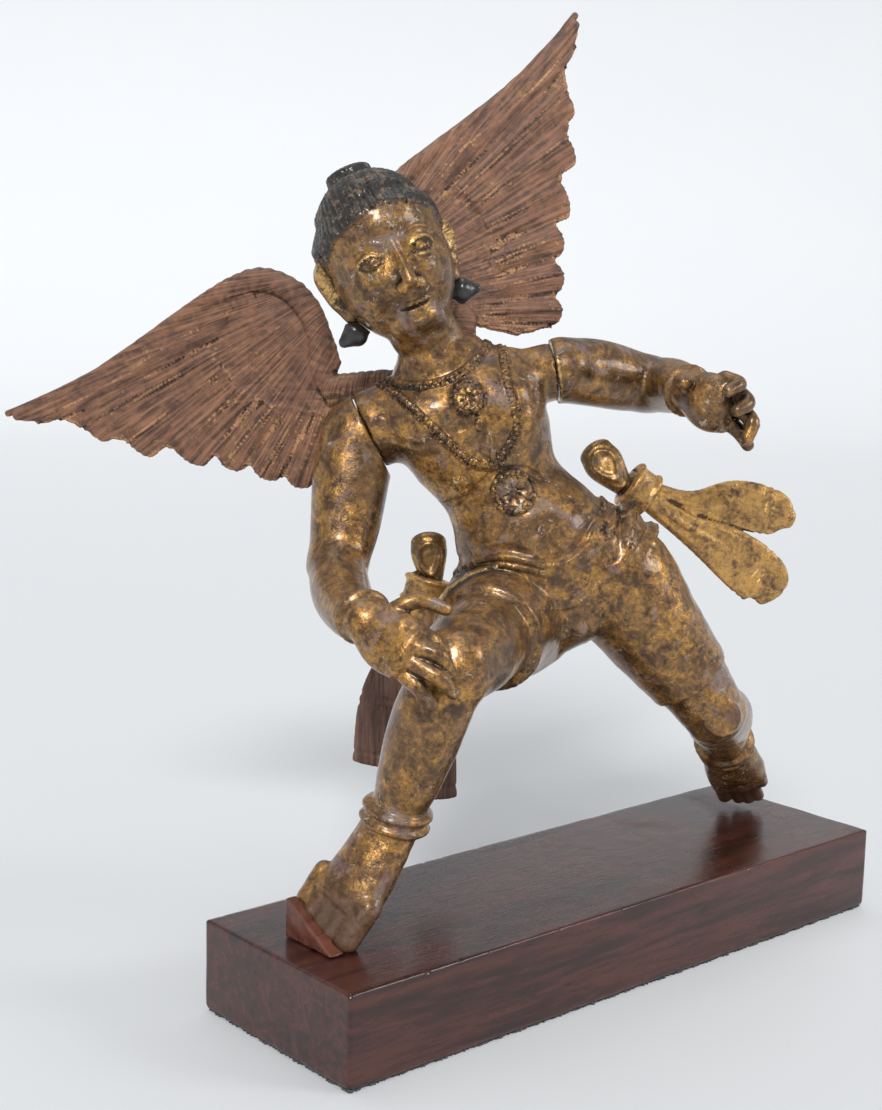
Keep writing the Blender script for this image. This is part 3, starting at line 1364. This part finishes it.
def build_right_sash():
    return build_sash(
        "sash_by_resting_hand",
        loop=[(spot(-50, 64, 214), 6, 5), (spot(-51, 66, 228), 10, 7), (spot(-51, 67, 236), 10, 6)],
        knot=(spot(-52, 65, 213), spot(-54, 66, 204)),
        tails=[
            [(spot(-54, 67, 206), 6, 4), (spot(-61, 76, 176), 10, 3.5), (spot(-68, 82, 144), 15, 3),
             (spot(-71, 86, 106), 14, 2.5)],
            [(spot(-52, 66, 206), 6, 4), (spot(-50, 63, 170), 9, 3.5), (spot(-50, 58, 130), 11, 3),
             (spot(-50, 55, 90), 11, 2.5)],
        ],
        low=(-88, 42, 82),
        high=(-33, 101, 250),
    )


# Plinth, felt pad and the wedge under the outer toes
PLINTH_LENGTH, PLINTH_WIDTH = 408.0, 123.0
FELT_THICKNESS = 1.2
FELT_INSET = 1.5


def build_plinth():
    """A squared board with softly broken edges, a few dents along them and broad plane marks."""
    half = np.array([PLINTH_LENGTH / 2, PLINTH_WIDTH / 2, (PLINTH_TOP - FELT_THICKNESS - GAP) / 2])
    middle = np.array([0, 0, PLINTH_TOP - half[2]])

    def board(points):
        inner = np.abs(points - middle) - half + 1.0
        return np.linalg.norm(np.maximum(inner, 0), axis=1) + np.minimum(inner.max(1), 0) - 1.0

    def worn(points):
        inner = np.sort(np.abs(points - middle) - half, axis=1)
        edge = rise(inner[:, 1], -2.5, -0.3)
        dents = np.maximum(wobble(points, 9, 31) - 1.1, 0) * 0.8
        return board(points) + edge * (dents + 0.12 + 0.12 * wobble(points, 30, 32)) + 0.03

    def wanted(points):
        inner = np.sort(np.abs(points - middle) - half, axis=1)
        return np.where(inner[:, 1] > -3, 0.9, 8.0)

    reach = half + 3
    return sculpt("rosewood_plinth", board, worn, middle - reach, middle + reach, 5.0, wanted)


def build_wedge():
    front, back, thin_back = -185.0, -150.0, -172.0
    inner, outer, height, foot = -21.0, 17.0, 21.0, 1.0
    floor = PLINTH_TOP + GAP
    slope = unit([0, -(height - foot), outer - inner])
    side = unit([outer - inner, -(back - thin_back), 0])
    foot_field = field_of(right_foot_forms())

    def block(points):
        planes = [
            front - points[:, 0],
            points[:, 0] - back,
            points[:, 1] - outer,
            inner - points[:, 1],
            floor - points[:, 2],
            (points - spot(0, inner, floor + foot)) @ slope,
            (points - spot(thin_back, inner, 0)) @ side,
        ]
        value = planes[0]
        for plane in planes[1:]:
            value = -melt(-value, -plane, 0.8)
        return -melt(-value, foot_field(points) - 0.5, 0.6)

    def worn(points):
        return block(points) + 0.1 + 0.12 * wobble(points, 7, 41)

    low, high = (front - 3, inner - 3, floor - 3), (back + 3, outer + 3, floor + height + 3)
    return sculpt("wedge_under_toes", block, worn, low, high, 1.2, lambda points: np.full(len(points), 0.9))


def build_felt():
    """A thin pad whose cut edge frays."""
    half_length, half_width = PLINTH_LENGTH / 2 - FELT_INSET, PLINTH_WIDTH / 2 - FELT_INSET
    draw = np.random.default_rng(7)
    step = 0.8
    ring_points = []
    for run, other, turned in ((half_length, half_width, 0), (half_width, half_length, 1),
                               (half_length, half_width, 2), (half_width, half_length, 3)):
        for place in np.arange(-run, run, step):
            point = np.array([place, -other])
            for _ in range(turned):
                point = np.array([-point[1], point[0]])
            ring_points.append(point)
    rim = np.array(ring_points)
    out = rim / np.maximum(np.abs(rim) / [half_length, half_width], 1e-6).max(1)[:, None]
    normal = np.where(np.abs(rim[:, :1]) > half_length - 1e-6, [[1, 0]], [[0, 1]]) * np.sign(rim)
    fray = draw.uniform(-0.9, 1.0, len(rim)) + 0.5 * np.sin(np.arange(len(rim)) * 0.37)
    outer = out + normal * np.clip(fray, -1.2, 1.2)[:, None]
    inner = rim * [(half_length - 4) / half_length, (half_width - 4) / half_width]
    count = len(rim)
    levels = [(inner, FELT_THICKNESS), (outer, FELT_THICKNESS * 0.85), (outer * 0.9995, 0.1), (inner, 0.0)]
    points = [np.column_stack([flat, np.full(count, height)]) for flat, height in levels]
    points = np.vstack(points + [[[0, 0, FELT_THICKNESS]], [[0, 0, 0]]])
    following = np.roll(np.arange(count), -1)
    here = np.arange(count)
    faces = []
    for level in range(3):
        a, b = level * count, (level + 1) * count
        faces.append(np.stack([a + here, b + here, b + following], 1))
        faces.append(np.stack([a + here, b + following, a + following], 1))
    top, bottom = len(points) - 2, len(points) - 1
    faces.append(np.stack([here, following, np.full(count, top)], 1))
    faces.append(np.stack([3 * count + following, 3 * count + here, np.full(count, bottom)], 1))
    piece = mesh_object("felt_under_plinth", points, np.vstack(faces))
    piece.data.polygons.foreach_set("use_smooth", np.zeros(len(piece.data.polygons), bool))
    return piece


def build_earring(name, left, outward):
    def place(side, up):
        return in_head(left + outward * side, up, -1)

    drop = [(place(-5, -29), 5, 5), (place(0, -31), 7, 6.5), (place(7, -33), 3, 3)]
    cap = ball(place(-3.4, -27), 2.2, 1.0)
    head = field_of(HEAD_FORMS)

    def beside_head(points, value):
        value[:] = -melt(-value, head(points) - 0.4, 0.6)

    def facets(points, value):
        value += 0.18 * wobble(points, 6, 51)

    forms = [Form(drop, FACE_FRONT, (0.8, 0.8), 0.8), cap]
    smooth, carved = field_of(forms, [beside_head]), field_of(forms, [facets, beside_head])
    middle = place(0, -31)
    return sculpt(name, smooth, carved, middle - 18, middle + 18, 1.0,
                  lambda points: np.full(len(points), 0.7))


def show(piece, node, look):
    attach(piece, "root")
    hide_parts(node)
    piece.data.materials.append(look)


# Materials. Lengths in them are in metres, as Blender takes them.
class Look:
    """Builds one procedural material, layer over layer."""

    def __init__(self, name, **plain):
        self.material = bpy.data.materials.new(name)
        self.material.use_nodes = True
        self.tree = self.material.node_tree
        self.shader = self.tree.nodes["Principled BSDF"]
        self.place = self.tree.nodes.new("ShaderNodeTexCoord").outputs["Object"]
        self.bumps = None
        for key, value in plain.items():
            self.shader.inputs[key.replace("_", " ")].default_value = value

    def feed(self, socket, value):
        if isinstance(value, bpy.types.NodeSocket):
            self.tree.links.new(value, socket)
        elif isinstance(value, tuple):
            socket.default_value = (*value, 1)[:4] if len(socket.default_value) == 4 else value
        else:
            socket.default_value = value

    def stretched(self, stretch, turn=(0, 0, 0)):
        node = self.tree.nodes.new("ShaderNodeMapping")
        self.feed(node.inputs["Vector"], self.place)
        node.inputs["Rotation"].default_value = turn
        node.inputs["Scale"].default_value = stretch
        return node.outputs["Vector"]

    def noise(self, size, detail=4.0, roughness=0.6, warp=0.0, place=None):
        """Cloudy noise from 0 to 1, its lumps about size across."""
        node = self.tree.nodes.new("ShaderNodeTexNoise")
        self.feed(node.inputs["Vector"], place or self.place)
        node.inputs["Scale"].default_value = 1 / size
        node.inputs["Detail"].default_value = detail
        node.inputs["Roughness"].default_value = roughness
        node.inputs["Distortion"].default_value = warp
        return node.outputs["Fac"]

    def combined(self, x, y):
        node = self.tree.nodes.new("ShaderNodeCombineXYZ")
        self.feed(node.inputs[0], x)
        self.feed(node.inputs[1], y)
        return node.outputs[0]

    def layer(self, name):
        node = self.tree.nodes.new("ShaderNodeAttribute")
        node.attribute_name = name
        return node.outputs["Fac"]

    def sum(self, first, second, way="ADD", clamp=False):
        node = self.tree.nodes.new("ShaderNodeMath")
        node.operation = way
        node.use_clamp = clamp
        self.feed(node.inputs[0], first)
        self.feed(node.inputs[1], second)
        return node.outputs[0]

    def times(self, first, second):
        return self.sum(first, second, "MULTIPLY")

    def step(self, value, low, high):
        """0 below low and 1 above high. With low above high it turns round."""
        node = self.tree.nodes.new("ShaderNodeMapRange")
        node.interpolation_type = "SMOOTHSTEP"
        self.feed(node.inputs["Value"], value)
        node.inputs["From Min"].default_value = min(low, high)
        node.inputs["From Max"].default_value = max(low, high)
        node.inputs["To Min"].default_value = 0.0 if low < high else 1.0
        node.inputs["To Max"].default_value = 1.0 if low < high else 0.0
        return node.outputs["Result"]

    def mix(self, share, first, second):
        node = self.tree.nodes.new("ShaderNodeMix")
        node.data_type = "RGBA"
        self.feed(node.inputs["Factor"], share)
        self.feed(node.inputs[6], first)
        self.feed(node.inputs[7], second)
        return node.outputs[2]

    def blend(self, share, first, second):
        """The same for plain numbers."""
        node = self.tree.nodes.new("ShaderNodeMix")
        node.data_type = "FLOAT"
        self.feed(node.inputs[0], share)
        self.feed(node.inputs[2], first)
        self.feed(node.inputs[3], second)
        return node.outputs[0]

    def upwards(self):
        geometry = self.tree.nodes.new("ShaderNodeNewGeometry")
        parts = self.tree.nodes.new("ShaderNodeSeparateXYZ")
        self.feed(parts.inputs[0], geometry.outputs["Normal"])
        return parts.outputs["Z"]

    def bump(self, height, depth, strength=1.0):
        """Fine relief in the surface, depth metres from 0 to 1."""
        node = self.tree.nodes.new("ShaderNodeBump")
        node.inputs["Strength"].default_value = strength
        node.inputs["Distance"].default_value = depth
        self.feed(node.inputs["Height"], height)
        if self.bumps:
            self.feed(node.inputs["Normal"], self.bumps)
        self.bumps = node.outputs["Normal"]

    def finish(self, colour, roughness, metallic=None):
        self.feed(self.shader.inputs["Base Color"], colour)
        self.feed(self.shader.inputs["Roughness"], roughness)
        if metallic is not None:
            self.feed(self.shader.inputs["Metallic"], metallic)
        if self.bumps:
            self.feed(self.shader.inputs["Normal"], self.bumps)
        return self.material


LACQUER_DARK = (0.080, 0.041, 0.018)
LACQUER_OLIVE = (0.250, 0.134, 0.053)
OLD_GOLD = (0.62, 0.310, 0.066)
BRIGHT_GOLD = (0.95, 0.60, 0.20)
RED_BOLE = (0.165, 0.078, 0.058)
PALE_GESSO = (0.56, 0.46, 0.34)
GREY_DUST = (0.21, 0.160, 0.135)
GRIME = (0.014, 0.009, 0.006)
HAIR_BLACK = (0.020, 0.017, 0.014)
HAIR_WORN = (0.190, 0.128, 0.078)
BARE_WOOD = (0.130, 0.060, 0.038)


def gilded_lacquer():
    """Gold leaf on red ground under old dark lacquer, rubbed, chipped and dusty."""
    look = Look("gilded_lacquer", Coat_Weight=0.42, Coat_Roughness=0.10, Specular_IOR_Level=0.35)
    hollow, edge = look.layer("hollow"), look.layer("edge")
    broad = look.noise(0.030, 5, 0.62, 0.6)
    patch = look.noise(0.0085, 6, 0.70, 0.5)
    fleck = look.noise(0.0026, 5, 0.72, 0.3)
    grit = look.noise(0.0011, 3, 0.6)
    olive = look.step(look.sum(patch, look.times(fleck, 0.4)), 0.50, 0.86)
    colour = look.mix(olive, LACQUER_DARK, LACQUER_OLIVE)
    gold = look.step(look.sum(look.times(broad, 0.6), look.times(patch, 0.55)), 0.52, 0.70)
    gold = look.times(gold, look.step(fleck, 0.34, 0.60))
    colour = look.mix(look.times(gold, 0.8), colour, OLD_GOLD)
    glint = look.times(gold, look.step(fleck, 0.56, 0.70))
    rubbed = look.step(look.sum(fleck, look.times(broad, 0.4)), 0.58, 0.78)
    ridge = look.times(look.step(edge, 0.18, 0.48), rubbed)
    bright = look.sum(look.times(glint, 0.5), look.times(ridge, 0.6), "MAXIMUM")
    colour = look.mix(bright, colour, BRIGHT_GOLD)
    dark_spots = look.times(look.step(look.noise(0.0055, 6, 0.75, 0.5), 0.54, 0.66), 0.6)
    colour = look.mix(dark_spots, colour, GRIME)
    colour = look.mix(look.times(look.step(grit, 0.54, 0.70), 0.4), colour, GRIME)
    bole_place = look.sum(look.noise(0.022, 6, 0.66, 1.0), look.times(edge, -0.03))
    bole = look.times(look.step(bole_place, 0.575, 0.63), look.step(fleck, 0.28, 0.46))
    bole_tone = look.mix(look.step(patch, 0.35, 0.65), RED_BOLE, GREY_DUST)
    colour = look.mix(look.times(bole, 0.8), colour, bole_tone)
    chips = look.noise(0.0042, 6, 0.74, 0.8)
    spread = look.noise(0.045, 2, 0.5)
    chip_place = look.sum(look.sum(chips, look.times(spread, 0.42)), look.times(edge, -0.06))
    chip = look.step(chip_place, 0.868, 0.892)
    chip = look.sum(chip, look.times(bole, look.step(chips, 0.58, 0.62)), "MAXIMUM")
    colour = look.mix(look.times(chip, 0.8), colour, PALE_GESSO)
    grime = look.times(look.step(hollow, 0.10, 0.60), 0.85)
    colour = look.mix(grime, colour, GRIME)
    dust = look.times(look.step(look.upwards(), 0.35, 0.95), look.step(broad, 0.35, 0.6))
    colour = look.mix(look.times(dust, 0.25), colour, GREY_DUST)
    hair = look.layer("hair")
    strand = look.layer("strand")
    worn = look.sum(look.times(strand, 0.25), look.sum(patch, look.times(fleck, 0.5)))
    worn_hair = look.mix(look.step(worn, 0.88, 1.10), HAIR_BLACK, HAIR_WORN)
    colour = look.mix(hair, colour, worn_hair)
    bare = look.layer("bare")
    bare = look.times(bare, look.step(look.sum(patch, look.times(bare, 0.5)), 0.62, 0.90))
    bare_tone = look.mix(look.step(fleck, 0.35, 0.65), LACQUER_DARK, BARE_WOOD)
    colour = look.mix(bare, colour, bare_tone)
    losses = look.sum(look.sum(chip, bole, "MAXIMUM"), look.sum(hair, bare, "MAXIMUM"), "MAXIMUM")
    metal = look.times(look.blend(gold, 0.48, 0.75), look.step(losses, 1.0, 0.2))
    rough = look.blend(look.sum(dust, chip, "MAXIMUM"), look.blend(patch, 0.17, 0.34), 0.6)
    rough = look.blend(look.sum(hair, bare, "MAXIMUM"), rough, 0.55)
    look.bump(look.times(strand, hair), 0.0004)
    look.bump(look.sum(look.times(chip, -1.0), 1.0), 0.0003)
    look.bump(look.sum(look.times(patch, 0.6), look.times(fleck, 0.4)), 0.0007)
    look.bump(grit, 0.00014)
    return look.finish(colour, rough, metal)


COPPER_BROWN = (0.250, 0.118, 0.070)
COPPER_BRIGHT = (0.58, 0.310, 0.155)
PAINT_DARK = (0.080, 0.042, 0.028)
OCHRE = (0.50, 0.30, 0.08)


def worn_wing_paint():
    """Copper-brown paint on bare wood, streaked along the feathers and darker in the cuts."""
    look = Look("worn_wing_paint", Specular_IOR_Level=0.35)
    hollow, edge = look.layer("hollow"), look.layer("edge")
    vanes = look.combined(look.times(look.layer("along"), 0.07), look.layer("across"))
    broad = look.noise(0.035, 5, 0.6, 0.5)
    patch = look.noise(0.008, 6, 0.7, 0.6)
    grain = look.noise(0.0022, 5, 0.65, 0.2)
    streak = look.noise(0.0024, 5, 0.65, 0.2, vanes)
    tone = look.sum(look.times(streak, 0.6), look.times(patch, 0.4))
    colour = look.mix(look.step(tone, 0.38, 0.58), PAINT_DARK, COPPER_BROWN)
    ridge = look.step(look.sum(look.times(edge, 1.6), look.times(streak, 0.6)), 0.25, 0.62)
    rubbed = look.times(ridge, look.step(look.sum(broad, look.times(streak, 0.5)), 0.58, 0.84))
    colour = look.mix(look.times(rubbed, 0.75), colour, COPPER_BRIGHT)
    fleck = look.times(look.step(look.noise(0.0045, 4, 0.7, 0.4), 0.60, 0.66), look.step(broad, 0.46, 0.62))
    colour = look.mix(look.times(fleck, 0.7), colour, OCHRE)
    colour = look.mix(look.times(look.step(hollow, 0.05, 0.42), 0.85), colour, GRIME)
    dust = look.times(look.step(look.upwards(), 0.3, 0.9), 0.22)
    colour = look.mix(dust, colour, GREY_DUST)
    look.bump(look.sum(look.times(patch, 0.5), look.times(grain, 0.5)), 0.0007)
    look.bump(streak, 0.0005)
    look.bump(look.noise(0.0008, 3, 0.6), 0.00012)
    return look.finish(colour, look.blend(grain, 0.36, 0.62), look.times(rubbed, 0.35))


SASH_GOLD = (0.74, 0.420, 0.125)
LOOP_BROWN = (0.105, 0.062, 0.028)


def sash_gold(name, bare_share):
    """Brighter leaf on the bows, dark on the loops, worn to wood on the tails where bare_share is 1."""
    look = Look(name, Coat_Weight=0.12, Coat_Roughness=0.25)
    hollow, edge = look.layer("hollow"), look.layer("edge")
    patch = look.noise(0.009, 6, 0.70, 0.7)
    fleck = look.noise(0.0024, 5, 0.72, 0.3)
    gold = look.step(look.sum(look.times(patch, 0.8), look.times(fleck, 0.45)), 0.46, 0.76)
    colour = look.mix(look.step(patch, 0.35, 0.65), LACQUER_DARK, BARE_WOOD)
    colour = look.mix(look.times(gold, 0.9), colour, SASH_GOLD)
    colour = look.mix(look.times(look.step(edge, 0.2, 0.5), 0.4), colour, BARE_WOOD)
    loop = look.times(look.layer("loop"), look.step(look.sum(patch, look.times(fleck, 0.4)), 0.95, 0.6))
    colour = look.mix(look.times(loop, 0.85), colour, LOOP_BROWN)
    bare = look.times(look.layer("bare"), bare_share)
    grain = look.noise(0.004, 5, 0.6, 0.2, look.stretched((2.2, 2.2, 0.16)))
    wood = look.mix(look.step(grain, 0.35, 0.65), (0.085, 0.040, 0.027), (0.200, 0.102, 0.068))
    colour = look.mix(bare, colour, wood)
    colour = look.mix(look.times(look.step(hollow, 0.04, 0.38), 0.85), colour, GRIME)
    metal = look.times(look.times(gold, look.step(bare, 1.0, 0.2)), 0.75)
    rough = look.blend(bare, look.blend(fleck, 0.18, 0.38), 0.55)
    look.bump(look.sum(look.times(patch, 0.5), look.times(fleck, 0.5)), 0.0005)
    look.bump(grain, 0.0002)
    return look.finish(colour, rough, metal)


def polished_hardwood(name, dark, light, along=(0.10, 1.0, 1.0)):
    """Red-brown hardwood with fine pores and long grain, waxed."""
    look = Look(name, Coat_Weight=0.25, Coat_Roughness=0.18)
    run = look.stretched(along)
    figure = look.noise(0.016, 5, 0.6, 1.5, run)
    streak = look.noise(0.0035, 6, 0.65, 0.4, run)
    pores = look.noise(0.0009, 3, 0.6, 0.0, look.stretched((0.06, 1.0, 1.0)))
    tone = look.sum(look.times(figure, 0.6), look.times(streak, 0.5))
    colour = look.mix(look.step(tone, 0.42, 0.68), dark, light)
    colour = look.mix(look.times(look.step(pores, 0.60, 0.70), 0.6), colour, (0.012, 0.005, 0.004))
    smudge = look.step(look.noise(0.05, 4, 0.6, 0.5), 0.5, 0.75)
    scratch = look.noise(0.0016, 3, 0.6, 0.0, look.stretched((0.05, 1, 1), (0, 0, 0.5)))
    scratch = look.step(scratch, 0.70, 0.76)
    rough = look.sum(look.blend(smudge, 0.24, 0.40), look.times(scratch, 0.15))
    look.bump(look.times(pores, -1.0), 0.00012)
    look.bump(look.noise(0.02, 2, 0.5), 0.0002)
    return look.finish(colour, rough)


def dull_felt():
    look = Look("dull_felt", Sheen_Weight=0.4, Sheen_Roughness=0.6)
    fibre = look.noise(0.0012, 6, 0.75, 2.0)
    colour = look.mix(look.step(fibre, 0.35, 0.7), (0.006, 0.005, 0.006), (0.030, 0.025, 0.028))
    look.bump(fibre, 0.0006)
    return look.finish(colour, 0.95)


def black_gloss():
    look = Look("black_gloss", Coat_Weight=0.4, Coat_Roughness=0.12)
    patch = look.noise(0.006, 5, 0.65, 0.5)
    fleck = look.step(look.noise(0.0025, 4, 0.7), 0.62, 0.68)
    colour = look.mix(look.step(patch, 0.4, 0.65), (0.008, 0.008, 0.009), (0.030, 0.027, 0.026))
    colour = look.mix(look.times(fleck, 0.5), colour, (0.12, 0.10, 0.09))
    look.bump(patch, 0.0005)
    return look.finish(colour, look.blend(patch, 0.2, 0.4))


def studio_paper():
    look = Look("studio_paper", Specular_IOR_Level=0.1)
    colour = look.mix(look.noise(0.4, 3, 0.5), (0.705, 0.72, 0.735), (0.73, 0.74, 0.75))
    return look.finish(colour, 0.8)


gilded = gilded_lacquer()
wing_paint = worn_wing_paint()
left_bow = sash_gold("sash_gold", 0.0)
right_bow = sash_gold("sash_worn", 1.0)
show(build_figure(), "figure", gilded)
show(build_right_arm(), "arm_right", gilded)
show(build_left_arm(), "arm_left", gilded)
show(RIGHT_WING.build("wing_outstretched"), "wing_right", wing_paint)
show(LEFT_WING.build("wing_raised"), "wing_left", wing_paint)
show(build_left_sash(), "sash_left", left_bow)
show(build_right_sash(), "sash_right", right_bow)
rosewood = polished_hardwood("rosewood", (0.022, 0.006, 0.004), (0.078, 0.020, 0.013))
wedge_wood = polished_hardwood("wedge_hardwood", (0.08, 0.024, 0.014), (0.17, 0.055, 0.032))
show(build_plinth(), "plinth", rosewood)
show(build_wedge(), "foot_wedge", wedge_wood)
show(build_felt(), "felt_pad", dull_felt())
ear_paint = black_gloss()
show(build_earring("earring_by_resting_hand", -31, -1), "earring_right", ear_paint)
show(build_earring("earring_by_raised_hand", 31, 1), "earring_left", ear_paint)


# Camera, lights and floor
CAMERA_PLACE = Vector((-0.6848, -0.6708, 0.3884))
CAMERA_RIGHT = Vector((0.756, -0.655, 0.022)).normalized()
CAMERA_UP = Vector((0.089, 0.137, 0.987)).normalized()
LENS = 56.52
SENSOR = 36.0


def aim(thing, place, right, up):
    back = right.cross(up)
    turn = Matrix((right, up, back)).transposed().to_4x4()
    thing.matrix_world = Matrix.Translation(place) @ turn


def add_camera():
    data = bpy.data.cameras.new("camera")
    data.sensor_fit = "VERTICAL"
    data.sensor_height = SENSOR
    data.lens = LENS
    camera = bpy.data.objects.new("camera", data)
    bpy.context.scene.collection.objects.link(camera)
    aim(camera, CAMERA_PLACE, CAMERA_RIGHT, CAMERA_UP)
    bpy.context.scene.camera = camera


def add_light(name, towards, spread, strength):
    """A far soft box. spread is the angle that it fills, seen from the object."""
    data = bpy.data.lights.new(name, "SUN")
    data.angle = math.radians(spread)
    data.energy = strength
    light = bpy.data.objects.new(name, data)
    bpy.context.scene.collection.objects.link(light)
    away = Vector(towards).normalized()
    right = Vector((0, 0, 1)).cross(away).normalized()
    aim(light, away * 2, right, away.cross(right))


def add_floor():
    """A round sheet of paper whose rim curves up all round, so that no horizon shows."""
    flat, bend, sides, rings = 3.0, 1.6, 96, 16
    turns = np.linspace(0, 2 * math.pi, sides, endpoint=False)
    points = [(0, 0, 0)]
    for lean in np.linspace(0, math.radians(80), rings):
        out, up = flat + bend * math.sin(lean), bend * (1 - math.cos(lean))
        points += [(out * math.cos(turn), out * math.sin(turn), up) for turn in turns]
    faces = []
    for i in range(sides):
        following = (i + 1) % sides
        faces.append((0, 1 + i, 1 + following))
        for ring_start in range(1, 1 + sides * (rings - 1), sides):
            a, b = ring_start + i, ring_start + following
            faces.append((a, a + sides, b + sides, b))
    mesh = bpy.data.meshes.new("floor")
    mesh.from_pydata(points, [], faces)
    mesh.polygons.foreach_set("use_smooth", np.ones(len(faces), bool))
    floor = bpy.data.objects.new("floor", mesh)
    bpy.context.scene.collection.objects.link(floor)
    floor.data.materials.append(studio_paper())


add_camera()
add_floor()
add_light("key", (-1.5, -1.3, 1.6), 16, 2.1)
add_light("side", (1.3, -1.6, 0.9), 20, 0.75)
add_light("top", (0.2, 0.5, 2.2), 45, 0.5)
world = bpy.data.worlds.new("room")
world.use_nodes = True
world.node_tree.nodes["Background"].inputs["Color"].default_value = (0.93, 0.96, 1, 1)
world.node_tree.nodes["Background"].inputs["Strength"].default_value = 0.42
bpy.context.scene.world = world
bpy.context.scene.view_settings.view_transform = "Standard"
